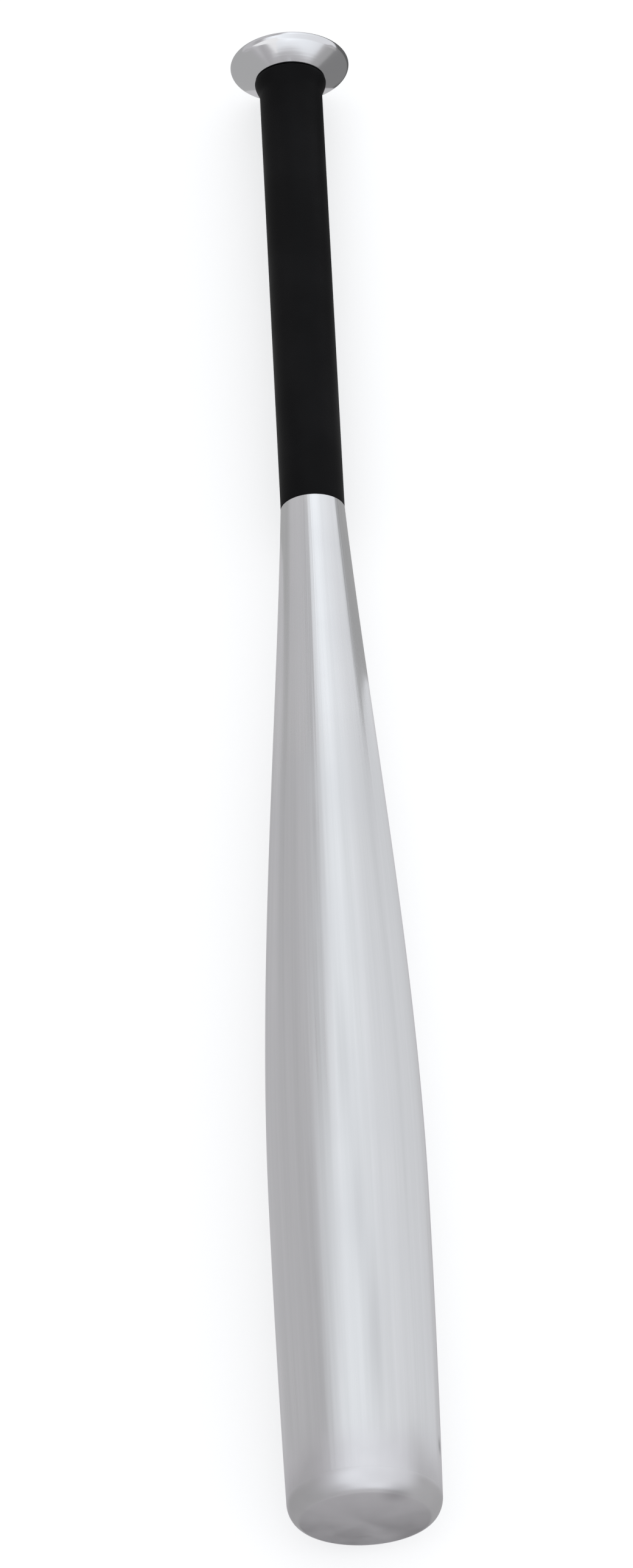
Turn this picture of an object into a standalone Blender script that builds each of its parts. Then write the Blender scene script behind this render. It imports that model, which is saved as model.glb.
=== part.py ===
"""Aluminium baseball bat, 24 inches long, lying on its side.

The bat's axis runs along X at the height of the barrel's radius: the barrel end is at +X and the
knob at -X. The origin is on the floor under the middle of the bat's length. A station is a distance
along the axis, in metres, measured from the barrel end's face towards the knob.
"""

import math

import bmesh
import bpy

# Overall
BAT_LENGTH = 0.610
SEGMENTS = 32
CLEARANCE = 0.0003

# Tube: barrel, taper and handle swaged from one piece
WALL = 0.0018
BARREL_RADIUS = 0.0286
BARREL_END_NARROWING = 0.0012
TUBE_START = 0.0093
TAPER_START = 0.125
TAPER_END = 0.4095
TAPER_FOOT_RADIUS = 0.0120
TAPER_FOOT_SLOPE = 1.0
HANDLE_RADIUS = 0.0110
TUBE_END = 0.6070
INNER_NECKING_LENGTH = 0.0055
BARREL_STEPS = 5
TAPER_STEPS = 14

# Cap that closes the barrel
CAP_CORNER_DEPTH = 0.0074
CAP_CORNER_REACH = 0.0053
CAP_CROWN_ANGLE = math.radians(6)
CAP_CORNER_STEPS = 8
CAP_THICKNESS = 0.0020
CAP_SPIGOT_DEPTH = 0.0080

# Grip sleeve
SLEEVE_RADIUS = 0.01195
SLEEVE_EDGE = 0.0002
SLEEVE_FLARE_RADIUS = 0.0136
SLEEVE_FLARE_LENGTH = 0.0060
SLEEVE_FLARE_STEPS = 4

# Knob
KNOB_RADIUS = 0.02265
KNOB_WIDEST_STATION = 0.6069
KNOB_INNER_ROUNDING = 0.0030
KNOB_OUTER_ROUNDING = 0.0016
KNOB_RIM_STEPS = 5
KNOB_UNDERSIDE_ANGLE = math.radians(30)
KNOB_FACE_RADIUS = 0.0130
KNOB_NECK_RADIUS = 0.0137
KNOB_NECK_STATION = 0.6000
KNOB_HOLE_RADIUS = 0.0060
KNOB_RECESS_RADIUS = 0.0083
KNOB_RECESS_DEPTH = 0.0014

# Rubber plug in the knob
PLUG_HEAD_THICKNESS = 0.0010
PLUG_BARB_RADIUS = 0.0072
PLUG_BARB_LENGTH = 0.0024

# Soft fillings inside the tube
FOAM_RADIUS = 0.0253
FOAM_START = 0.0178
FOAM_LENGTH = 0.0200
DAMPER_START = 0.5300
DAMPER_LENGTH = 0.0600

AXIS_HEIGHT = BARREL_RADIUS * math.cos(math.pi / SEGMENTS)
BORE_RADIUS = HANDLE_RADIUS - WALL


def clear_scene():
    for obj in list(bpy.data.objects):
        bpy.data.objects.remove(obj, do_unlink=True)


def make_material(name, color, roughness, metallic):
    material = bpy.data.materials.new(name)
    material.use_nodes = True
    shader = material.node_tree.nodes["Principled BSDF"]
    shader.inputs["Base Color"].default_value = (*color, 1.0)
    shader.inputs["Roughness"].default_value = roughness
    shader.inputs["Metallic"].default_value = metallic
    material.diffuse_color = (*color, 1.0)
    return material


def ring(mesh, station, radius):
    """One circle of vertices about the axis, or a single vertex where the radius is zero."""
    if radius == 0:
        return [mesh.verts.new((-station, 0, 0))]
    half_step = math.pi / SEGMENTS
    angles = [half_step * (2 * step + 1) for step in range(SEGMENTS)]
    return [mesh.verts.new((-station, radius * math.cos(a), radius * math.sin(a))) for a in angles]


def join_rings(mesh, first, second):
    """Faces between two neighbouring circles, either of which may be a single vertex."""
    for step in range(SEGMENTS):
        following = (step + 1) % SEGMENTS
        corners = []
        for corner in (
            first[step % len(first)],
            first[following % len(first)],
            second[following % len(second)],
            second[step % len(second)],
        ):
            if corner not in corners:
                corners.append(corner)
        mesh.faces.new(corners)


def turned(name, outline, material, closed):
    """A body of revolution about the bat's axis. The outline is a list of (station, radius) points.

    A closed outline's last point joins its first, which makes a hollow ring. An open one starts and
    ends on the axis. Flats of the many-sided circle face straight down, so the bat can rest on one.
    """
    mesh = bmesh.new()
    rings = [ring(mesh, station, radius) for station, radius in outline]
    for first, second in zip(rings, rings[1:]):
        join_rings(mesh, first, second)
    if closed:
        join_rings(mesh, rings[-1], rings[0])
    bmesh.ops.recalc_face_normals(mesh, faces=mesh.faces)
    data = bpy.data.meshes.new(name)
    mesh.to_mesh(data)
    mesh.free()
    data.shade_smooth()
    data.set_sharp_from_angle(angle=math.radians(35))
    data.materials.append(material)
    obj = bpy.data.objects.new(name, data)
    obj.location = (BAT_LENGTH / 2, 0, AXIS_HEIGHT)
    bpy.context.collection.objects.link(obj)
    return obj


def arc(center, radius, start, end, steps):
    """Points of a circular arc, from start to end in degrees: 0 points outwards from the axis and
    90 points along it, towards the knob."""
    points = []
    for step in range(steps + 1):
        angle = math.radians(start + (end - start) * step / steps)
        points.append((center[0] + radius * math.sin(angle), center[1] + radius * math.cos(angle)))
    return points


def barrel_radius(station):
    """The barrel is widest where the taper starts, and narrows gently towards its end."""
    share = (TAPER_START - station) / (TAPER_START - TUBE_START)
    return BARREL_RADIUS - BARREL_END_NARROWING * share**2


def taper_radius(station):
    """One cubic curve from the handle's end of the taper, where it starts with a slope, up to the
    barrel, which it meets without one."""
    share = (TAPER_END - station) / (TAPER_END - TAPER_START)
    leaving = share**3 - 2 * share**2 + share
    rising = 3 * share**2 - 2 * share**3
    return TAPER_FOOT_RADIUS + (BARREL_RADIUS - TAPER_FOOT_RADIUS) * (TAPER_FOOT_SLOPE * leaving + rising)


def barrel_and_taper():
    """The tube's outer outline from the barrel end to the foot of the taper."""
    points = []
    for step in range(BARREL_STEPS):
        station = TUBE_START + (TAPER_START - TUBE_START) * step / BARREL_STEPS
        points.append((station, barrel_radius(station)))
    for step in range(TAPER_STEPS + 1):
        station = TAPER_START + (TAPER_END - TAPER_START) * step / TAPER_STEPS
        points.append((station, taper_radius(station)))
    return points


def build_bat_shell(material):
    outside = barrel_and_taper()
    shoulder_and_handle = [(TAPER_END, HANDLE_RADIUS), (TUBE_END, HANDLE_RADIUS)]
    bore = [(TUBE_END, BORE_RADIUS), (TAPER_END, BORE_RADIUS)]
    inside = [(station, radius - WALL) for station, radius in reversed(outside)]
    necking_start = TAPER_END - INNER_NECKING_LENGTH
    inside = [point for point in inside if point[0] < necking_start]
    outline = outside + shoulder_and_handle + bore + inside
    return turned("bat_shell", outline, material, closed=True)


def cap_corner(center, inset, start, end, steps):
    """The end cap's elliptical corner, or the same corner set in from its surface."""
    points = []
    for along, outwards in arc((0.0, 0.0), 1.0, start, end, steps):
        station = center[0] + along * (CAP_CORNER_DEPTH - inset)
        points.append((station, center[1] + outwards * (CAP_CORNER_REACH - inset)))
    return points


def build_barrel_end_cap(material):
    """A pressed cap: crowned face with a flat centre, rounded corner, and a spigot in the tube."""
    rim_radius = barrel_radius(TUBE_START)
    rim_station = TUBE_START - CLEARANCE
    spigot_radius = rim_radius - WALL - CLEARANCE
    crown_slope = math.tan(CAP_CROWN_ANGLE)
    lean = math.atan(crown_slope * CAP_CORNER_REACH / CAP_CORNER_DEPTH)
    corner_start_radius = rim_radius - CAP_CORNER_REACH * (1 - math.sin(lean))
    flat_radius = corner_start_radius / 2
    crown_rise = flat_radius * crown_slope
    corner_center = (crown_rise + CAP_CORNER_DEPTH * math.cos(lean), rim_radius - CAP_CORNER_REACH)
    corner_start = math.degrees(lean) - 90
    corner = cap_corner(corner_center, 0.0, corner_start, 0, CAP_CORNER_STEPS)
    inner_corner = cap_corner(corner_center, CAP_THICKNESS, -30, corner_start, CAP_CORNER_STEPS // 2)
    spigot_end = rim_station + CAP_SPIGOT_DEPTH
    spigot_bore = inner_corner[0][1]
    outline = [(0.0, 0.0), (0.0, flat_radius)]
    outline += corner
    outline += [(rim_station, rim_radius), (rim_station, spigot_radius), (spigot_end, spigot_radius)]
    outline += [(spigot_end, spigot_bore)]
    outline += inner_corner
    outline += [(CAP_THICKNESS, flat_radius), (CAP_THICKNESS, 0.0)]
    return turned("barrel_end_cap", outline, material, closed=False)


def build_barrel_foam_plug(material):
    end = FOAM_START + FOAM_LENGTH
    outline = [(FOAM_START, 0.0), (FOAM_START, FOAM_RADIUS), (end, FOAM_RADIUS), (end, 0.0)]
    return turned("barrel_foam_plug", outline, material, closed=False)


def build_handle_damper(material):
    radius = BORE_RADIUS - CLEARANCE
    end = DAMPER_START + DAMPER_LENGTH
    outline = [(DAMPER_START, 0.0), (DAMPER_START, radius), (end, radius), (end, 0.0)]
    return turned("handle_damper", outline, material, closed=False)


def build_grip_sleeve(material):
    """A thin rubber sleeve that butts against the tube's shoulder and flares out at the knob."""
    start = TAPER_END + CLEARANCE
    end = KNOB_NECK_STATION - CLEARANCE
    bore = HANDLE_RADIUS + CLEARANCE
    flare_end = end - SLEEVE_EDGE
    outline = [(start, bore), (start, SLEEVE_RADIUS - SLEEVE_EDGE), (start + SLEEVE_EDGE, SLEEVE_RADIUS)]
    for step in range(SLEEVE_FLARE_STEPS + 1):
        share = step / SLEEVE_FLARE_STEPS
        flared = (SLEEVE_FLARE_RADIUS - SLEEVE_RADIUS) * share**2 * (3 - 2 * share)
        outline.append((flare_end - SLEEVE_FLARE_LENGTH * (1 - share), SLEEVE_RADIUS + flared))
    outline += [(end, SLEEVE_FLARE_RADIUS - SLEEVE_EDGE), (end, bore)]
    return turned("grip_sleeve", outline, material, closed=True)


def build_knob(material):
    """A turned disc with a sloping inner side and a rounded rim. The tube seats in its bore,
    against a web with a hole."""
    bore = HANDLE_RADIUS + CLEARANCE
    web_station = TUBE_END + CLEARANCE
    recess_station = BAT_LENGTH - KNOB_RECESS_DEPTH
    rim_start = math.degrees(KNOB_UNDERSIDE_ANGLE) - 90
    inner_center = (KNOB_WIDEST_STATION, KNOB_RADIUS - KNOB_INNER_ROUNDING)
    outer_center = (KNOB_WIDEST_STATION, KNOB_RADIUS - KNOB_OUTER_ROUNDING)
    outline = [(KNOB_NECK_STATION, bore), (KNOB_NECK_STATION, KNOB_NECK_RADIUS)]
    outline += arc(inner_center, KNOB_INNER_ROUNDING, rim_start, 0, KNOB_RIM_STEPS)
    outline += arc(outer_center, KNOB_OUTER_ROUNDING, 0, 90, KNOB_RIM_STEPS)[1:]
    outline += [(BAT_LENGTH, KNOB_FACE_RADIUS), (BAT_LENGTH, KNOB_RECESS_RADIUS)]
    outline += [(recess_station, KNOB_RECESS_RADIUS), (recess_station, KNOB_HOLE_RADIUS)]
    outline += [(web_station, KNOB_HOLE_RADIUS), (web_station, bore)]
    return turned("knob", outline, material, closed=True)


def build_knob_plug(material):
    """A rubber plug whose head sits in the knob's recess and whose barb holds behind the web."""
    head_start = BAT_LENGTH - KNOB_RECESS_DEPTH + CLEARANCE
    head_end = head_start + PLUG_HEAD_THICKNESS
    head_radius = KNOB_RECESS_RADIUS - CLEARANCE
    shank_radius = KNOB_HOLE_RADIUS - CLEARANCE
    barb_end = TUBE_END
    barb_start = barb_end - PLUG_BARB_LENGTH
    outline = [(barb_start, 0.0), (barb_start, shank_radius), (barb_end, PLUG_BARB_RADIUS)]
    outline += [(barb_end, shank_radius), (head_start, shank_radius), (head_start, head_radius)]
    outline += [(head_end, head_radius), (head_end, 0.0)]
    return turned("knob_plug", outline, material, closed=False)


def main():
    clear_scene()
    brushed = make_material("satin_aluminium", (0.74, 0.74, 0.76), 0.34, 1.0)
    polished = make_material("polished_aluminium", (0.78, 0.78, 0.80), 0.18, 1.0)
    sleeve_rubber = make_material("grip_rubber", (0.012, 0.012, 0.014), 0.62, 0.0)
    plug_rubber = make_material("plug_rubber", (0.02, 0.02, 0.02), 0.55, 0.0)
    foam = make_material("filler_foam", (0.72, 0.64, 0.42), 0.9, 0.0)
    damper_rubber = make_material("damper_rubber", (0.05, 0.05, 0.05), 0.7, 0.0)
    build_bat_shell(brushed)
    build_barrel_end_cap(brushed.copy())
    build_barrel_foam_plug(foam)
    build_handle_damper(damper_rubber)
    build_grip_sleeve(sleeve_rubber)
    build_knob(polished)
    build_knob_plug(plug_rubber)


main()
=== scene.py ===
"""The looks of the aluminium baseball bat: fine turned surfaces, materials, light and camera.

A station is a distance along the bat's axis, in metres, measured from the barrel end's face towards
the knob. Every turned piece has its own origin on the axis, at the barrel end's face.
"""

import math

import bmesh
import bpy
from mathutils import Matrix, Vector


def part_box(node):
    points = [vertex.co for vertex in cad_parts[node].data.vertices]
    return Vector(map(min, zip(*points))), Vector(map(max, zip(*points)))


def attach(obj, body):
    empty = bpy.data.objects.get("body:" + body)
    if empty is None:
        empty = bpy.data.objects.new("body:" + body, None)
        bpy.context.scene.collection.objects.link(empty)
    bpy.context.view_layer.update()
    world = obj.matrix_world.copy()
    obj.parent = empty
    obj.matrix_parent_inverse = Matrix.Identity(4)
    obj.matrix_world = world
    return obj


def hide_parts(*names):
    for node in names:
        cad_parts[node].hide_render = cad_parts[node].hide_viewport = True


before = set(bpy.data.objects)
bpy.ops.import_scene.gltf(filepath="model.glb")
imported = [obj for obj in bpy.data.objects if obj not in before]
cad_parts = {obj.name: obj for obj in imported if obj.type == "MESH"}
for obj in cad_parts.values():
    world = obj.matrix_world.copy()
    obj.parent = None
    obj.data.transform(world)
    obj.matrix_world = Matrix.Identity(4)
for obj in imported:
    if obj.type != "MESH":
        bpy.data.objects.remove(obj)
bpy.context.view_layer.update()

# The CAD solids are 32-sided, and measured flat to flat
CAD_SIDES = 32
TO_TRUE_ROUND = 1 / math.cos(math.pi / CAD_SIDES)

SHELL_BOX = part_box("bat_shell")
CAP_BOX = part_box("barrel_end_cap")
SLEEVE_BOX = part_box("grip_sleeve")
KNOB_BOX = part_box("knob")
PLUG_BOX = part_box("knob_plug")
FOAM_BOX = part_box("barrel_foam_plug")
DAMPER_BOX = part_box("handle_damper")

AXIS_HEIGHT = (SHELL_BOX[0].z + SHELL_BOX[1].z) / 2
BARREL_END_X = CAP_BOX[1].x


def true_radius(box):
    return (box[1].y - box[0].y) / 2 * TO_TRUE_ROUND


def station_of(x):
    return BARREL_END_X - x


# Turned surfaces
SIDES = 192
SHARP_ANGLE = math.radians(32)
TAPER_STEPS = 90
STRAIGHT_STEPS = 30
HANDLE_STEPS = 12
EDGE_STEPS = 6
BORE_TAPER_LENGTH = 0.006
BARREL_RADIUS = true_radius(SHELL_BOX)
BARREL_END_NARROWING = 0.0012
TAPER_START = 0.125
TAPER_END = 0.4095
TAPER_FOOT_RADIUS = 0.0120
HANDLE_RADIUS = 0.0110
WALL = 0.0018
TUBE_START = station_of(SHELL_BOX[1].x)
TUBE_END = station_of(SHELL_BOX[0].x)
# The cap and the tube are drawn out to meet in the middle of the gap left for their weld
WELD_GAP = 0.0003
SEAM_STATION = TUBE_START - WELD_GAP / 2
SEAM_GAP = 0.00001
FOOT_BEVEL = 0.00004
CLOSE_FIT = 0.0001
LOOSE_FIT = 0.0003

CAP_CORNER_DEPTH = 0.0074
CAP_CORNER_REACH = 0.0053
CAP_CROWN_ANGLE = math.radians(6)
CAP_THICKNESS = 0.0020
CAP_END = station_of(CAP_BOX[0].x)

SLEEVE_RADIUS = 0.01195
SLEEVE_FLARE_RADIUS = 0.0136
SLEEVE_FLARE_LENGTH = 0.0060
SLEEVE_START = station_of(SLEEVE_BOX[1].x)
SLEEVE_END = station_of(SLEEVE_BOX[0].x)
SLEEVE_EDGE = 0.00025
SLEEVE_FLARE_EDGE = 0.0006
SLEEVE_BORE = HANDLE_RADIUS + CLOSE_FIT

KNOB_RADIUS = true_radius(KNOB_BOX)
KNOB_FACE_STATION = station_of(KNOB_BOX[0].x)
KNOB_NECK_STATION = station_of(KNOB_BOX[1].x)
KNOB_WIDEST_STATION = KNOB_FACE_STATION - 0.0031
KNOB_INNER_ROUNDING = 0.0026
KNOB_OUTER_ROUNDING = 0.0016
KNOB_NECK_RADIUS = 0.0137
KNOB_BELL_START = math.radians(28.8)
KNOB_BELL_END = math.radians(33.5)
KNOB_BOSS_RADIUS = 0.0130
KNOB_RECESS_RADIUS = 0.0083
KNOB_RECESS_DEPTH = 0.0014
KNOB_BORE = HANDLE_RADIUS + CLOSE_FIT
KNOB_HOLE_RADIUS = 0.0060
KNOB_EDGE = 0.00025

PLUG_HEAD_RADIUS = true_radius(PLUG_BOX)
PLUG_HEAD_THICKNESS = 0.0010
PLUG_START = station_of(PLUG_BOX[1].x)
PLUG_END = station_of(PLUG_BOX[0].x)
PLUG_EDGE = 0.0003
PLUG_SHANK_RADIUS = KNOB_HOLE_RADIUS - LOOSE_FIT
PLUG_BARB_RADIUS = 0.0072
PLUG_DIMPLE_RADIUS = 0.0032
PLUG_DIMPLE_DEPTH = 0.0005

FOAM_EDGE = 0.0012
DAMPER_RIBS = 4
STEPS_PER_RIB = 24
DAMPER_GROOVE = 0.0007

# Metal colours. A pair is blended by a noise
TAPER_TONES = ((0.84, 0.84, 0.85, 1), (0.90, 0.90, 0.91, 1))
BARREL_TONES = ((0.725, 0.73, 0.735, 1), (0.845, 0.845, 0.855, 1))
PRESSED_TONES = ((0.725, 0.715, 0.735, 1), (0.83, 0.82, 0.84, 1))
CLOUD_COLOR = (0.77, 0.775, 0.79, 1)
TUBE_MARK_COLOR = (0.42, 0.42, 0.43, 1)
CAP_MARK_COLOR = (0.48, 0.47, 0.49, 1)
KNOB_COLOR = (0.86, 0.86, 0.88)
# Where the tube's look changes, as X from its origin
TAPER_TO_BARREL = (-0.36, -0.27)
BARREL_TO_CAP = (-0.032, -0.010)
TAPER_ROUGHNESS = 0.17
BARREL_ROUGHNESS = 0.26
TUBE_END_EXTRA_ROUGHNESS = 0.08
CAP_ROUGHNESS = (0.36, 0.46)
KNOB_ROUGHNESS = (0.11, 0.18)
# Streaks, as features to a radian around the axis and to a metre along it
FINE_STREAKS = (34, 10)
BROAD_STREAKS = (7, 4)
# Other noises, as features to a metre
TUBE_CLOUDS = 26.0
CAP_CLOUDS = 34.0
CAP_PATCHES = 90.0
CAP_RINGS = 900.0
KNOB_CLOUDS = 60.0
KNOB_RINGS = 2200.0
RUBBER_WEAR = 40.0

# Rubbers: colour, grains to a metre, roughness and specular level
RUBBERS = {
    "grip_rubber": ((0.0028, 0.0028, 0.0032), 1500.0, 0.5, 0.09),
    "plug_rubber": ((0.012, 0.012, 0.012), 900.0, 0.5, 0.3),
    "damper_rubber": ((0.03, 0.03, 0.03), 700.0, 0.6, 0.3),
}
FOAM_COLOR = (0.72, 0.64, 0.42)
FOAM_TONES = ((0.45, 0.38, 0.22, 1), (0.76, 0.68, 0.46, 1))
FOAM_CELLS = 900.0

# Darker marks on the metal: three long soft streaks along the barrel's top, a soft patch at the
# barrel's end and a small spot near it. Columns: station, degrees rightwards from the top, radius,
# half length, half width and strength
DARKER_MARKS = (
    (0.170, 1.0, 0.0286, 0.050, 0.0046, 0.22),
    (0.110, 5.0, 0.0286, 0.050, 0.0046, 0.22),
    (0.060, 12.0, 0.0286, 0.050, 0.0048, 0.28),
    (0.0012, 27.0, 0.0225, 0.0050, 0.0075, 0.60),
    (0.025, 77.0, 0.0280, 0.005, 0.0028, 1.0),
)

# Camera, at the photograph's angle
CAMERA_AZIMUTH = math.radians(87.4)
CAMERA_ELEVATION = math.radians(61.4)
CAMERA_DISTANCE = 3.051
CAMERA_AIM = (0.0099, -0.0038, AXIS_HEIGHT - 0.0029)
CAMERA_LENS = 191.5
CAMERA_SENSOR = 36.0
CAMERA_CLIP_END = 100.0

# Stage and light
FLOOR_SIZE = 40.0
FLOOR_COLOR = (0.64, 0.64, 0.64)
FLOOR_GLOW = 0.54
BACKDROP_RADIUS = 18.0
# Brightness of the studio's panels, by degrees from straight up: leftwards below 0, rightwards above
PANELS_ACROSS = (
    (-180, 0.46), (-140, 0.53), (-110, 0.50), (-50, 0.50), (-40, 0.38), (-30, 0.41), (-19, 0.85),
    (-5, 1.0), (12, 0.90), (40, 0.80), (65, 0.75), (100, 0.73), (140, 0.71), (180, 0.46),
)
# Brightness in front of the barrel's end, by degrees above the horizon
PANELS_AHEAD = (
    (-90, 0.0), (-75, 0.0), (-66, 0.14), (-60, 0.48), (-54, 0.76), (-45, 0.80), (0, 0.42),
    (6, 0.41), (10, 1.0),
)
PANEL_GAIN = 1.08
# Farthest ahead, how much lower the ceiling comes, and how much the dark front sinks at the sides
CEILING_REACH = 0.8
HORIZON_LIFT = 1.25
# The panels' turn about the bat's axis: its start, and then steps of (from X, to X, degrees)
PANEL_SKEW_AT_KNOB = math.radians(-8)
PANEL_TURNS = ((-0.53, -0.475, 15), (-0.475, -0.442, 3), (-0.442, -0.41, 11), (0.6, 0.8, -26))
# The ranges of the direction's X over which the far ahead, and the front, take hold
FAR_AHEAD = (0.65, 0.95)
IN_FRONT = (0.0, 0.25)
# Dim panels are tinted warm, and bright ones cool
TINTED_LEVELS = (0.45, 0.9)
WARM_TINT = (1.0, 0.985, 1.005, 1)
COOL_TINT = (0.96, 0.99, 1.02, 1)
# Cards seen only as reflections, as corners and brightness
CARDS = (
    # On the floor right of the handle, darkest by the knob
    (((-0.48, 0.02, 0), (-0.302, 0.02, 0), (-0.302, 0.50, 0), (-0.48, 0.50, 0)), 0.12),
    (((-0.302, 0.02, 0), (-0.220, 0.02, 0), (-0.220, 0.50, 0), (-0.302, 0.50, 0)), 0.22),
    (((-0.220, 0.02, 0), (-0.045, 0.02, 0), (-0.130, 0.20, 0), (-0.220, 0.50, 0)), 0.38),
    # On the floor left of the handle
    (((-0.48, -0.50, 0), (-0.112, -0.50, 0), (-0.112, -0.02, 0), (-0.48, -0.02, 0)), 0.42),
    # Upright, left of the handle by the knob
    (
        (
            (-0.292, -0.035, 0.052),
            (-0.17, -0.035, 0.052),
            (-0.17, -0.035, 0.13),
            (-0.292, -0.035, 0.13),
        ),
        0.92,
    ),
    # Leaning outwards, right and left of the barrel's end
    (((0.292, 0.03, -0.01), (0.45, 0.03, -0.01), (0.45, 0.13, 0.085), (0.238, 0.13, 0.085)), 0.42),
    (((0.296, -0.03, -0.01), (0.45, -0.03, -0.01), (0.45, -0.13, 0.085), (0.24, -0.13, 0.085)), 0.40),
)


# Outlines, as lists of (station, radius)


def arc(center, radius, start, end, steps):
    """Points of a circular arc, from start to end in degrees: 0 points outwards from the axis and
    90 points along it, towards the knob."""
    points = []
    for step in range(steps + 1):
        angle = math.radians(start + (end - start) * step / steps)
        points.append((center[0] + radius * math.sin(angle), center[1] + radius * math.cos(angle)))
    return points


def spread(start, end, steps):
    """Evenly spaced values from start up to, but without, end."""
    return [start + (end - start) * step / steps for step in range(steps)]


def smooth(share):
    return share * share * (3 - 2 * share)


def barrel_radius(station):
    """Narrows a little towards the barrel's end."""
    share = (TAPER_START - station) / (TAPER_START - TUBE_START)
    return BARREL_RADIUS - BARREL_END_NARROWING * share**2


def taper_radius(station):
    """Leaves the barrel without a kink and reaches the taper's foot at a shallow angle."""
    share = (TAPER_END - station) / (TAPER_END - TAPER_START)
    leaving = share**3 - 2 * share**2 + share
    rising = 3 * share**2 - 2 * share**3
    return TAPER_FOOT_RADIUS + (BARREL_RADIUS - TAPER_FOOT_RADIUS) * (leaving + rising)


def tube_outline():
    """Barrel, taper, the small step where the sleeve begins, handle, and the bore behind them."""
    start = SEAM_STATION + SEAM_GAP
    outside = [(s, barrel_radius(s)) for s in spread(start, TAPER_START, STRAIGHT_STEPS)]
    outside += [(s, taper_radius(s)) for s in spread(TAPER_START, TAPER_END - FOOT_BEVEL, TAPER_STEPS)]
    outside += [(TAPER_END - FOOT_BEVEL, TAPER_FOOT_RADIUS)]
    outside += [(TAPER_END, TAPER_FOOT_RADIUS - FOOT_BEVEL)]
    handle = [(TAPER_END, HANDLE_RADIUS)]
    handle += [(s, HANDLE_RADIUS) for s in spread(TAPER_END + 0.005, TUBE_END, HANDLE_STEPS)]
    handle += [(TUBE_END, HANDLE_RADIUS)]
    bore_radius = HANDLE_RADIUS - WALL
    bore = [(TUBE_END, bore_radius), (TAPER_END, bore_radius)]
    bore_taper_end = TAPER_END - BORE_TAPER_LENGTH
    inside = [(s, taper_radius(s) - WALL) for s in spread(bore_taper_end, TAPER_START, STRAIGHT_STEPS)]
    inside += [(s, barrel_radius(s) - WALL) for s in spread(TAPER_START, start, 10)]
    inside += [(start, barrel_radius(start) - WALL)]
    return outside + handle + bore + inside


def cap_corner(center, inset, start_angle, end_angle, steps):
    """Points of the end cap's elliptical corner, or of the same corner set in from its surface."""
    points = []
    for point in arc((0.0, 0.0), 1.0, start_angle, end_angle, steps):
        station = center[0] + point[0] * (CAP_CORNER_DEPTH - inset)
        points.append((station, center[1] + point[1] * (CAP_CORNER_REACH - inset)))
    return points


def cap_outline():
    """A slightly domed face that runs into a rounded corner, the rim, and the spigot in the tube."""
    rim = SEAM_STATION
    rim_radius = barrel_radius(TUBE_START)
    spigot_radius = rim_radius - WALL - LOOSE_FIT
    lean = math.atan(math.tan(CAP_CROWN_ANGLE) * CAP_CORNER_REACH / CAP_CORNER_DEPTH)
    crown_radius = rim_radius - CAP_CORNER_REACH * (1 - math.sin(lean))
    crown_rise = crown_radius * math.tan(CAP_CROWN_ANGLE) / 2
    center = (crown_rise + CAP_CORNER_DEPTH * math.cos(lean), rim_radius - CAP_CORNER_REACH)
    start_angle = math.degrees(lean) - 90
    face = [(crown_rise * share**2, crown_radius * share) for share in spread(0.0, 1.0, 24)]
    corner = cap_corner(center, 0.0, start_angle, 0, 28)
    inner_corner = cap_corner(center, CAP_THICKNESS, -30, start_angle, 10)
    spigot = [(rim, rim_radius), (rim, spigot_radius)]
    spigot += [(CAP_END, spigot_radius), (CAP_END, inner_corner[0][1])]
    return face + corner + spigot + inner_corner + [(CAP_THICKNESS, 0.0)]


def sleeve_outline():
    """A plain sleeve whose end flares out against the knob."""
    start_edge = (SLEEVE_START + SLEEVE_EDGE, SLEEVE_RADIUS - SLEEVE_EDGE)
    end_edge = (SLEEVE_END - SLEEVE_FLARE_EDGE, SLEEVE_FLARE_RADIUS - SLEEVE_FLARE_EDGE)
    flare_start = end_edge[0] - SLEEVE_FLARE_LENGTH
    outline = [(SLEEVE_START, SLEEVE_BORE)]
    outline += arc(start_edge, SLEEVE_EDGE, -90, 0, 4)
    outline += [(s, SLEEVE_RADIUS) for s in spread(start_edge[0] + 0.004, flare_start, 24)]
    for share in spread(0.0, 1.0, 12):
        radius = SLEEVE_RADIUS + (SLEEVE_FLARE_RADIUS - SLEEVE_RADIUS) * smooth(share)
        outline.append((flare_start + SLEEVE_FLARE_LENGTH * share, radius))
    outline += arc(end_edge, SLEEVE_FLARE_EDGE, 0, 90, 8)
    outline += [(SLEEVE_END, SLEEVE_BORE)]
    return outline


def bell(start, end, start_lean, end_lean, steps):
    """A full, slightly bulging curve between two points, whose surface leans away from square to the
    axis by the two angles. The end point is left out."""
    reach = math.dist(start, end) / 3
    first = (start[0] + reach * math.sin(start_lean), start[1] + reach * math.cos(start_lean))
    second = (end[0] - reach * math.sin(end_lean), end[1] - reach * math.cos(end_lean))
    points = []
    for share in spread(0.0, 1.0, steps):
        weights = ((1 - share) ** 3, 3 * share * (1 - share) ** 2, 3 * share**2 * (1 - share), share**3)
        corners = (start, first, second, end)
        points.append(tuple(sum(w * c[axis] for w, c in zip(weights, corners)) for axis in (0, 1)))
    return points


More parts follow.
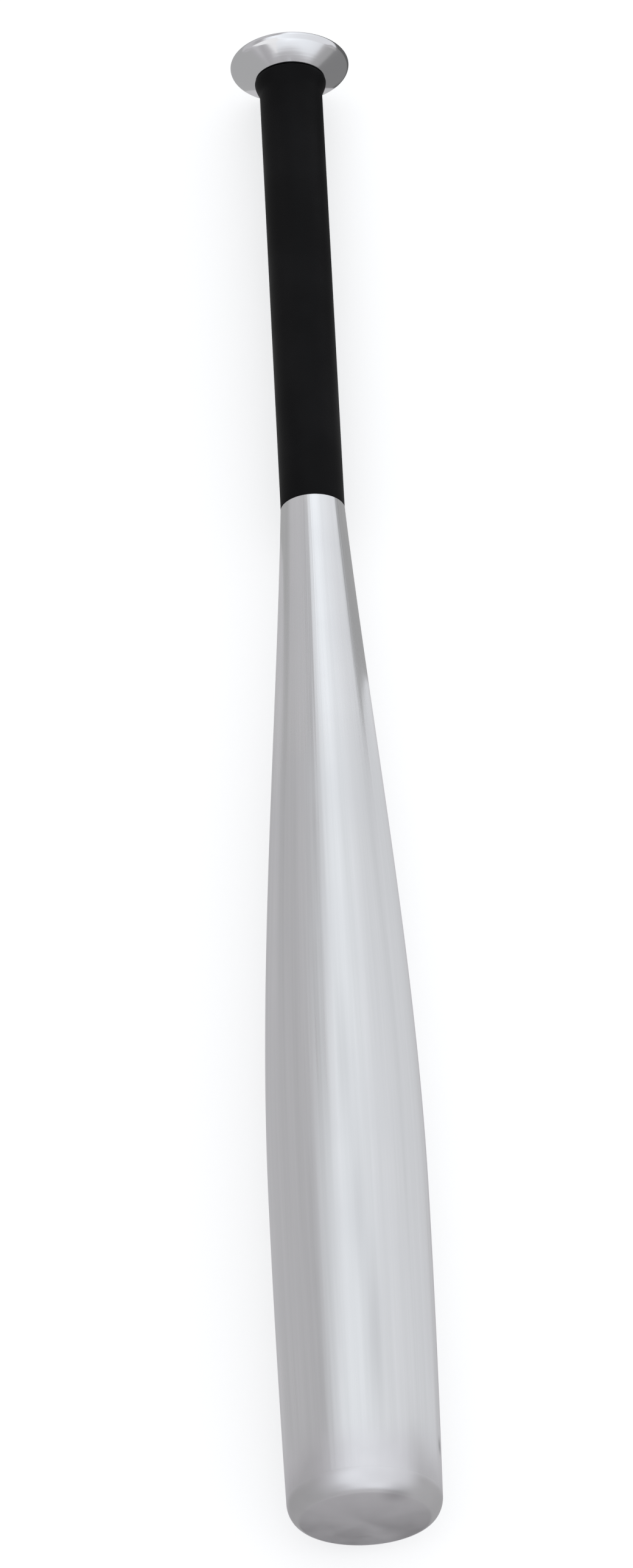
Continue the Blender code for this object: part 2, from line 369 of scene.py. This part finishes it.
def knob_outline():
    """Neck, bell-shaped inner side, rounded rim, a raised boss on the outer face, and the bore."""
    inner_center = (KNOB_WIDEST_STATION, KNOB_RADIUS - KNOB_INNER_ROUNDING)
    outer_center = (KNOB_WIDEST_STATION, KNOB_RADIUS - KNOB_OUTER_ROUNDING)
    crest_station = KNOB_WIDEST_STATION + KNOB_OUTER_ROUNDING
    web_station = TUBE_END + CLOSE_FIT
    recess_station = KNOB_FACE_STATION - KNOB_RECESS_DEPTH
    outline = [(KNOB_NECK_STATION, KNOB_BORE)]
    rim_start = math.degrees(KNOB_BELL_END) - 90
    rim = arc(inner_center, KNOB_INNER_ROUNDING, rim_start, 0, 20)
    rim += arc(outer_center, KNOB_OUTER_ROUNDING, 0, 90, 14)[1:]
    neck = (KNOB_NECK_STATION, KNOB_NECK_RADIUS)
    outline += bell(neck, rim[0], KNOB_BELL_START, KNOB_BELL_END, 24)
    outline += rim
    for share in spread(0.1, 1.0, 9):
        radius = outer_center[1] - (outer_center[1] - KNOB_BOSS_RADIUS) * share
        outline.append((crest_station + (KNOB_FACE_STATION - crest_station) * smooth(share), radius))
    outline += [(KNOB_FACE_STATION, KNOB_BOSS_RADIUS)]
    edge = (KNOB_FACE_STATION - KNOB_EDGE, KNOB_RECESS_RADIUS + KNOB_EDGE)
    outline += arc(edge, KNOB_EDGE, 90, 180, 5)
    outline += [(recess_station, KNOB_RECESS_RADIUS), (recess_station, KNOB_HOLE_RADIUS)]
    outline += [(web_station, KNOB_HOLE_RADIUS), (web_station, KNOB_BORE)]
    return outline


def plug_outline():
    """The head, with a rounded edge and a moulded dimple, and the shank with its barb."""
    head_start = PLUG_END - PLUG_HEAD_THICKNESS
    edge = (PLUG_END - PLUG_EDGE, PLUG_HEAD_RADIUS - PLUG_EDGE)
    outline = [(PLUG_START, 0.0), (PLUG_START, PLUG_SHANK_RADIUS)]
    outline += [(TUBE_END, PLUG_BARB_RADIUS), (TUBE_END, PLUG_SHANK_RADIUS)]
    outline += [(head_start, PLUG_SHANK_RADIUS), (head_start, PLUG_HEAD_RADIUS)]
    outline += arc(edge, PLUG_EDGE, 0, 90, EDGE_STEPS)
    outline += [(PLUG_END, PLUG_DIMPLE_RADIUS)]
    for share in spread(0.15, 1.0, 8):
        depth = PLUG_DIMPLE_DEPTH * smooth(share)
        outline.append((PLUG_END - depth, PLUG_DIMPLE_RADIUS * (1 - share)))
    outline += [(PLUG_END - PLUG_DIMPLE_DEPTH, 0.0)]
    return outline


def foam_outline():
    """A plain cylinder with soft edges."""
    start, end = station_of(FOAM_BOX[1].x), station_of(FOAM_BOX[0].x)
    radius = true_radius(FOAM_BOX)
    outline = [(start, 0.0)]
    outline += arc((start + FOAM_EDGE, radius - FOAM_EDGE), FOAM_EDGE, -90, 0, EDGE_STEPS)
    outline += arc((end - FOAM_EDGE, radius - FOAM_EDGE), FOAM_EDGE, 0, 90, EDGE_STEPS)
    outline += [(end, 0.0)]
    return outline


def damper_outline():
    """A rubber plug with raised ribs that grip the tube's bore."""
    start, end = station_of(DAMPER_BOX[1].x), station_of(DAMPER_BOX[0].x)
    radius = true_radius(DAMPER_BOX)
    steps = STEPS_PER_RIB * DAMPER_RIBS
    outline = [(start, 0.0)]
    for step in range(steps + 1):
        wave = math.cos(2 * math.pi * DAMPER_RIBS * step / steps)
        groove = DAMPER_GROOVE * (0.5 + 0.5 * wave)
        outline.append((start + (end - start) * step / steps, radius - groove))
    outline += [(end, 0.0)]
    return outline


# Meshes


def ring(mesh, station, radius):
    """One circle of vertices about the axis, or a single vertex where the radius is zero."""
    if radius == 0:
        return [mesh.verts.new((-station, 0, 0))]
    angles = [2 * math.pi * side / SIDES for side in range(SIDES)]
    return [mesh.verts.new((-station, radius * math.cos(a), radius * math.sin(a))) for a in angles]


def join_rings(mesh, first, second):
    for side in range(SIDES):
        following = (side + 1) % SIDES
        corners = []
        for corner in (
            first[side % len(first)],
            first[following % len(first)],
            second[following % len(second)],
            second[side % len(second)],
        ):
            if corner not in corners:
                corners.append(corner)
        mesh.faces.new(corners)


def add_object(name, mesh, material):
    """An object with its material, made from a bmesh, which is then freed."""
    data = bpy.data.meshes.new(name)
    mesh.to_mesh(data)
    mesh.free()
    data.materials.append(material)
    made = bpy.data.objects.new(name, data)
    bpy.context.collection.objects.link(made)
    return made


def turned(name, outline, material, closed):
    """A body of revolution. A closed outline's last point joins its first; an open one starts and
    ends on the axis."""
    mesh = bmesh.new()
    rings = [ring(mesh, station, radius) for station, radius in outline]
    for first, second in zip(rings, rings[1:]):
        join_rings(mesh, first, second)
    if closed:
        join_rings(mesh, rings[-1], rings[0])
    bmesh.ops.recalc_face_normals(mesh, faces=mesh.faces)
    piece = add_object(name, mesh, material)
    piece.data.shade_smooth()
    piece.data.set_sharp_from_angle(angle=SHARP_ANGLE)
    piece.location = (BARREL_END_X, 0, AXIS_HEIGHT)
    return piece


# Materials


def add_node(tree, kind, values=None, **settings):
    """A node with its settings, and its inputs either set to a value or linked to a socket."""
    made = tree.nodes.new(kind)
    for name, value in settings.items():
        setattr(made, name, value)
    for name, value in (values or {}).items():
        if isinstance(value, bpy.types.NodeSocket):
            tree.links.new(value, made.inputs[name])
        else:
            made.inputs[name].default_value = value
    return made


def math_node(tree, operation, first, second=0.0, third=0.0):
    values = {0: first, 1: second, 2: third}
    return add_node(tree, "ShaderNodeMath", values, operation=operation).outputs[0]


def remap(tree, value, low, high, to_low, to_high, kind="LINEAR"):
    values = {"Value": value, "From Min": low, "From Max": high, "To Min": to_low, "To Max": to_high}
    return add_node(tree, "ShaderNodeMapRange", values, interpolation_type=kind).outputs["Result"]


def spread_noise(tree, value, low, high):
    """A noise, which lies mostly between 0.3 and 0.7, spread over another range."""
    return remap(tree, value, 0.3, 0.7, low, high)


def vector_node(tree, operation, first, second=(0.0, 0.0, 0.0)):
    return add_node(tree, "ShaderNodeVectorMath", {0: first, 1: second}, operation=operation)


def noise(tree, vector, scale, detail=2.0, roughness=0.5):
    values = {"Vector": vector, "Scale": scale, "Detail": detail, "Roughness": roughness}
    return add_node(tree, "ShaderNodeTexNoise", values).outputs["Fac"]


def pores(tree, vector, scale):
    """The distance to the middle of the nearest of many small cells."""
    values = {"Vector": vector, "Scale": scale}
    return add_node(tree, "ShaderNodeTexVoronoi", values).outputs["Distance"]


def mix_color(tree, factor, first, second):
    made = add_node(tree, "ShaderNodeMix", data_type="RGBA")
    for socket, value in zip((made.inputs[0], made.inputs[6], made.inputs[7]), (factor, first, second)):
        if isinstance(value, bpy.types.NodeSocket):
            tree.links.new(value, socket)
        else:
            socket.default_value = value
    return made.outputs[2]


def new_material(name, base, roughness, metallic, specular=0.5):
    """A material with its Principled shader's constants set, its tree and its shader."""
    material = bpy.data.materials.new(name)
    material.use_nodes = True
    tree = material.node_tree
    shader = tree.nodes["Principled BSDF"]
    shader.inputs["Base Color"].default_value = (*base, 1.0)
    shader.inputs["Roughness"].default_value = roughness
    shader.inputs["Metallic"].default_value = metallic
    shader.inputs["Specular IOR Level"].default_value = specular
    return material, tree, shader


def object_place(tree):
    return add_node(tree, "ShaderNodeTexCoord").outputs["Object"]


def split_place(tree, place):
    """A place's distance along the axis, and the rest of it, square to the axis."""
    parts = add_node(tree, "ShaderNodeSeparateXYZ", {0: place}).outputs
    across = add_node(tree, "ShaderNodeCombineXYZ", {1: parts["Y"], 2: parts["Z"]})
    return parts["X"], across.outputs[0]


def lengthwise(tree, along, outward, around_scale, along_scale):
    """Coordinates whose noise runs in streaks along the bat. The scales are features to a radian and
    features to a metre."""
    wide = add_node(tree, "ShaderNodeVectorMath", {0: outward, 3: around_scale}, operation="SCALE")
    long = math_node(tree, "MULTIPLY", along, along_scale)
    offset = add_node(tree, "ShaderNodeCombineXYZ", {0: long})
    return vector_node(tree, "ADD", wide.outputs[0], offset.outputs[0]).outputs[0]


def turning_rings(tree, distance, scale, detail):
    """Fine rings about the axis, as a lathe leaves them, from a distance that grows outwards."""
    vector = add_node(tree, "ShaderNodeCombineXYZ", {0: distance}).outputs[0]
    return noise(tree, vector, scale, detail)


def add_bumps(tree, shader, layers):
    """Bumps laid one over the other, as (height, strength, distance)."""
    normal = None
    for height, strength, distance in layers:
        values = {"Strength": strength, "Distance": distance, "Height": height}
        bump = add_node(tree, "ShaderNodeBump", values)
        if normal is not None:
            tree.links.new(normal, bump.inputs["Normal"])
        normal = bump.outputs[0]
    tree.links.new(normal, shader.inputs["Normal"])


def darker_marks(tree, place):
    """How much the metal is darkened, from 0 to 1: long soft streaks, a soft patch and a small spot."""
    total = 0.0
    for station, degrees, radius, half_length, half_width, strength in DARKER_MARKS:
        angle = math.radians(degrees)
        center = (-station, radius * math.sin(angle), radius * math.cos(angle))
        offset = vector_node(tree, "SUBTRACT", place, center).outputs[0]
        scaled = vector_node(tree, "DIVIDE", offset, (half_length, half_width, half_width)).outputs[0]
        reach = vector_node(tree, "LENGTH", scaled).outputs["Value"]
        amount = remap(tree, reach, 0.0, 1.0, strength, 0.0, "SMOOTHSTEP")
        total = math_node(tree, "ADD", amount, total)
    return total


def pressed_cloud(tree, place):
    return noise(tree, place, CAP_CLOUDS, 3.0, 0.55)


def pressed_color(tree, place):
    """Cloudy, very slightly purple aluminium."""
    cloud = spread_noise(tree, pressed_cloud(tree, place), 0.0, 1.0)
    return mix_color(tree, cloud, *PRESSED_TONES)


def tube_color(tree, place, barrel, end, noises):
    """Streaked and clouded metal, with the cap's colour at the barrel's end, and the marks."""
    fine, broad, cloud = noises
    streaks = math_node(tree, "MULTIPLY_ADD", broad, 0.7, math_node(tree, "MULTIPLY", fine, 0.3))
    tone = spread_noise(tree, streaks, 0.0, 1.0)
    taper_color = mix_color(tree, tone, *TAPER_TONES)
    barrel_color = mix_color(tree, tone, *BARREL_TONES)
    streaked = mix_color(tree, barrel, taper_color, barrel_color)
    clouded = mix_color(tree, remap(tree, cloud, 0.35, 0.7, 0.0, 0.5), streaked, CLOUD_COLOR)
    blended = mix_color(tree, end, clouded, pressed_color(tree, place))
    return mix_color(tree, darker_marks(tree, place), blended, TUBE_MARK_COLOR)


def tube_roughness(tree, barrel, end, noises):
    """Glossier on the taper, rougher at the barrel's end, and uneven with the streaks and clouds."""
    fine, broad, cloud = noises
    even = remap(tree, barrel, 0.0, 1.0, TAPER_ROUGHNESS, BARREL_ROUGHNESS)
    even = math_node(tree, "MULTIPLY_ADD", end, TUBE_END_EXTRA_ROUGHNESS, even)
    streaked = spread_noise(tree, fine, 0.0, 0.08)
    clouded = spread_noise(tree, cloud, 0.0, 0.05)
    return math_node(tree, "ADD", even, math_node(tree, "ADD", streaked, clouded))


def satin_aluminium(name):
    """Bare aluminium with fine draw lines along the tube, cloudy polish and a few darker marks.
    The taper is a little brighter and glossier than the barrel, and the barrel's end takes on the
    look of the cap."""
    material, tree, shader = new_material(name, (0.86, 0.86, 0.87), 0.24, 1.0)
    place = object_place(tree)
    along, across = split_place(tree, place)
    outward = vector_node(tree, "NORMALIZE", across).outputs[0]
    fine = noise(tree, lengthwise(tree, along, outward, *FINE_STREAKS), 1.0, 3.0, 0.6)
    broad = noise(tree, lengthwise(tree, along, outward, *BROAD_STREAKS), 1.0, 2.0, 0.5)
    cloud = noise(tree, place, TUBE_CLOUDS, 3.0, 0.55)
    noises = (fine, broad, cloud)
    barrel = remap(tree, along, *TAPER_TO_BARREL, 0.0, 1.0, "SMOOTHSTEP")
    end = remap(tree, along, *BARREL_TO_CAP, 0.0, 1.0, "SMOOTHSTEP")
    tree.links.new(tube_color(tree, place, barrel, end, noises), shader.inputs["Base Color"])
    tree.links.new(tube_roughness(tree, barrel, end, noises), shader.inputs["Roughness"])
    add_bumps(tree, shader, ((fine, 0.12, 0.00004), (broad, 0.35, 0.0003)))
    return material


def pressed_aluminium(name):
    """The pressed end cap: cloudy and a little rougher than the tube, with faint turning rings."""
    material, tree, shader = new_material(name, (0.82, 0.82, 0.83), 0.3, 1.0)
    place = object_place(tree)
    along, across = split_place(tree, place)
    color = mix_color(tree, darker_marks(tree, place), pressed_color(tree, place), CAP_MARK_COLOR)
    tree.links.new(color, shader.inputs["Base Color"])
    patches = noise(tree, place, CAP_PATCHES, 3.0, 0.6)
    tree.links.new(spread_noise(tree, patches, *CAP_ROUGHNESS), shader.inputs["Roughness"])
    radius = vector_node(tree, "LENGTH", across).outputs["Value"]
    rings = turning_rings(tree, radius, CAP_RINGS, 3.0)
    add_bumps(tree, shader, ((rings, 0.1, 0.00003), (pressed_cloud(tree, place), 0.4, 0.0002)))
    return material


def polished_aluminium(name):
    """The turned knob: rings left by the tool, and a brighter polish than the tube's."""
    material, tree, shader = new_material(name, KNOB_COLOR, 0.14, 1.0)
    place = object_place(tree)
    cloud = noise(tree, place, KNOB_CLOUDS, 3.0, 0.55)
    tree.links.new(spread_noise(tree, cloud, *KNOB_ROUGHNESS), shader.inputs["Roughness"])
    distance = vector_node(tree, "LENGTH", place).outputs["Value"]
    rings = turning_rings(tree, distance, KNOB_RINGS, 2.0)
    add_bumps(tree, shader, ((rings, 0.2, 0.00003),))
    return material


def black_rubber(name, base, grain_scale, roughness, specular):
    """Matte moulded rubber with a fine pebbled grain, and slightly worn patches."""
    material, tree, shader = new_material(name, base, roughness, 0.0, specular)
    place = object_place(tree)
    pebbles = pores(tree, place, grain_scale)
    wear = noise(tree, place, RUBBER_WEAR, 3.0)
    worn = tuple(channel * 1.7 + 0.001 for channel in base)
    color = mix_color(tree, remap(tree, wear, 0.4, 0.7, 0.0, 0.6), (*base, 1), (*worn, 1))
    tree.links.new(color, shader.inputs["Base Color"])
    rough = spread_noise(tree, wear, roughness + 0.05, roughness - 0.06)
    tree.links.new(rough, shader.inputs["Roughness"])
    add_bumps(tree, shader, ((pebbles, 0.3, 0.0001),))
    return material


def open_foam(name):
    """Pale filler foam with small open cells."""
    material, tree, shader = new_material(name, FOAM_COLOR, 0.9, 0.0, 0.2)
    cells = pores(tree, object_place(tree), FOAM_CELLS)
    color = mix_color(tree, remap(tree, cells, 0.1, 0.6, 0.0, 1.0), *FOAM_TONES)
    tree.links.new(color, shader.inputs["Base Color"])
    add_bumps(tree, shader, ((cells, 0.8, 0.0004),))
    return material


# Pieces


def build_bat():
    """Every piece, with its material, the CAD node it replaces and that node's slot."""
    tube_metal = satin_aluminium("satin_aluminium")
    cap_metal = pressed_aluminium("cap_aluminium")
    knob_metal = polished_aluminium("knob_aluminium")
    grip, plug, damper = (black_rubber(name, *look) for name, look in RUBBERS.items())
    foam = open_foam("filler_foam")
    pieces = (
        ("tube", tube_outline(), tube_metal, True, "bat_shell", "satin_aluminium"),
        ("end_cap", cap_outline(), cap_metal, False, "barrel_end_cap", "cap_aluminium"),
        ("sleeve", sleeve_outline(), grip, True, "grip_sleeve", "grip_rubber"),
        ("knob_disc", knob_outline(), knob_metal, True, "knob", "knob_aluminium"),
        ("plug", plug_outline(), plug, False, "knob_plug", "plug_rubber"),
        ("foam_filler", foam_outline(), foam, False, "barrel_foam_plug", "filler_foam"),
        ("damper", damper_outline(), damper, False, "handle_damper", "damper_rubber"),
    )
    for name, outline, material, closed, node, slot in pieces:
        piece = turned(name, outline, material, closed)
        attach(piece, "root")
        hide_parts(node)


# Stage


def glow(shader, level):
    shader.inputs["Emission Color"].default_value = (1, 1, 1, 1)
    shader.inputs["Emission Strength"].default_value = level


def glowing(name, level):
    """A material that only gives off white light."""
    material, tree, shader = new_material(name, (0.0, 0.0, 0.0), 1.0, 0.0, 0.0)
    glow(shader, level)
    return material


def build_floor():
    """A pale floor, level across and tipped along the bat so that barrel and knob both touch it. The
    metal doesn't reflect it."""
    knob_x = BARREL_END_X - KNOB_WIDEST_STATION
    barrel_x = BARREL_END_X - TAPER_START
    slope = math.atan((BARREL_RADIUS - KNOB_RADIUS) / (barrel_x - knob_x))
    down = -Vector((math.sin(slope), 0, math.cos(slope)))
    material, tree, shader = new_material("floor_paper", FLOOR_COLOR, 0.9, 0.0, 0.1)
    glow(shader, FLOOR_GLOW)
    mesh = bmesh.new()
    bmesh.ops.create_grid(mesh, x_segments=1, y_segments=1, size=FLOOR_SIZE / 2)
    floor = add_object("floor", mesh, material)
    floor.rotation_euler = (0, slope, 0)
    floor.location = Vector((barrel_x, 0, AXIS_HEIGHT)) + BARREL_RADIUS * down
    floor.visible_glossy = False


def build_backdrop():
    """A plain white dome, seen only directly, so that the light panels behind it aren't seen."""
    mesh = bmesh.new()
    bmesh.ops.create_uvsphere(mesh, u_segments=48, v_segments=24, radius=BACKDROP_RADIUS)
    backdrop = add_object("backdrop", mesh, glowing("backdrop_paper", 1.0))
    backdrop.visible_diffuse = False
    backdrop.visible_glossy = False
    backdrop.visible_transmission = False
    backdrop.visible_shadow = False


def build_cards():
    """Cards around the bat, seen only as their reflections in the metal."""
    for number, (corners, level) in enumerate(CARDS, 1):
        name = f"card_{number}"
        mesh = bmesh.new()
        mesh.faces.new([mesh.verts.new(corner) for corner in corners])
        card = add_object(name, mesh, glowing(name, level))
        card.visible_camera = False
        card.visible_diffuse = False
        card.visible_shadow = False


def levels(tree, angle, stops):
    """A soft brightness profile over an angle: stops of (degrees, level), with levels up to 1."""
    share = remap(tree, angle, -math.pi, math.pi, 0.0, 1.0)
    ramp = add_node(tree, "ShaderNodeValToRGB", {"Fac": share})
    elements = ramp.color_ramp.elements
    while len(elements) < len(stops):
        elements.new(0.5)
    for element, (degrees, level) in zip(elements, stops):
        element.position = degrees / 360 + 0.5
        element.color = (level, level, level, 1)
    return ramp.outputs["Color"]


def panel_skew(tree, x):
    """How far the panels turn about the bat's axis, by the direction's X."""
    skew = PANEL_SKEW_AT_KNOB
    for low, high, degrees in PANEL_TURNS:
        turn = remap(tree, x, low, high, 0.0, math.radians(degrees))
        skew = math_node(tree, "ADD", skew, turn)
    return skew


def panel_level(tree, x, y, z):
    """The studio's brightness in a direction."""
    far = remap(tree, x, *FAR_AHEAD, 0.0, 1.0, "SMOOTHSTEP")
    lifted = math_node(tree, "MULTIPLY_ADD", far, CEILING_REACH, z)
    turned_by = math_node(tree, "ADD", math_node(tree, "ARCTAN2", y, lifted), panel_skew(tree, x))
    across = levels(tree, turned_by, PANELS_ACROSS)
    sideways = math_node(tree, "MULTIPLY", math_node(tree, "MULTIPLY", y, y), HORIZON_LIFT)
    height = math_node(tree, "MULTIPLY_ADD", sideways, far, z)
    ahead = levels(tree, math_node(tree, "ARCSINE", height), PANELS_AHEAD)
    in_front = remap(tree, x, *IN_FRONT, 0.0, 1.0, "SMOOTHSTEP")
    return mix_color(tree, in_front, across, math_node(tree, "MINIMUM", across, ahead))


def build_world():
    """A studio of large soft panels, by direction: a bright ceiling that begins a little left of
    the bat, falls off to the right and comes down lower far ahead, a grey wall on the left, and
    darkness low in front."""
    world = bpy.data.worlds.new("studio")
    bpy.context.scene.world = world
    world.use_nodes = True
    tree = world.node_tree
    direction = add_node(tree, "ShaderNodeTexCoord").outputs["Generated"]
    parts = add_node(tree, "ShaderNodeSeparateXYZ", {0: direction}).outputs
    level = panel_level(tree, parts["X"], parts["Y"], parts["Z"])
    coolness = remap(tree, level, *TINTED_LEVELS, 0.0, 1.0)
    tint = mix_color(tree, coolness, WARM_TINT, COOL_TINT)
    background = tree.nodes["Background"]
    tree.links.new(tint, background.inputs["Color"])
    tree.links.new(math_node(tree, "MULTIPLY", level, PANEL_GAIN), background.inputs["Strength"])


def build_camera():
    """A long lens, high up beyond the barrel's end, which looks down along the bat."""
    data = bpy.data.cameras.new("camera")
    data.lens = CAMERA_LENS
    data.sensor_width = CAMERA_SENSOR
    data.clip_end = CAMERA_CLIP_END
    camera = bpy.data.objects.new("camera", data)
    flat = math.cos(CAMERA_ELEVATION)
    back_x = math.sin(CAMERA_AZIMUTH) * flat
    back_y = -math.cos(CAMERA_AZIMUTH) * flat
    back = Vector((back_x, back_y, math.sin(CAMERA_ELEVATION)))
    camera.location = Vector(CAMERA_AIM) + back * CAMERA_DISTANCE
    camera.rotation_euler = back.to_track_quat("Z", "Y").to_euler()
    bpy.context.collection.objects.link(camera)
    bpy.context.scene.camera = camera


bpy.context.scene.view_settings.view_transform = "Standard"
build_bat()
build_floor()
build_backdrop()
build_world()
build_cards()
build_camera()
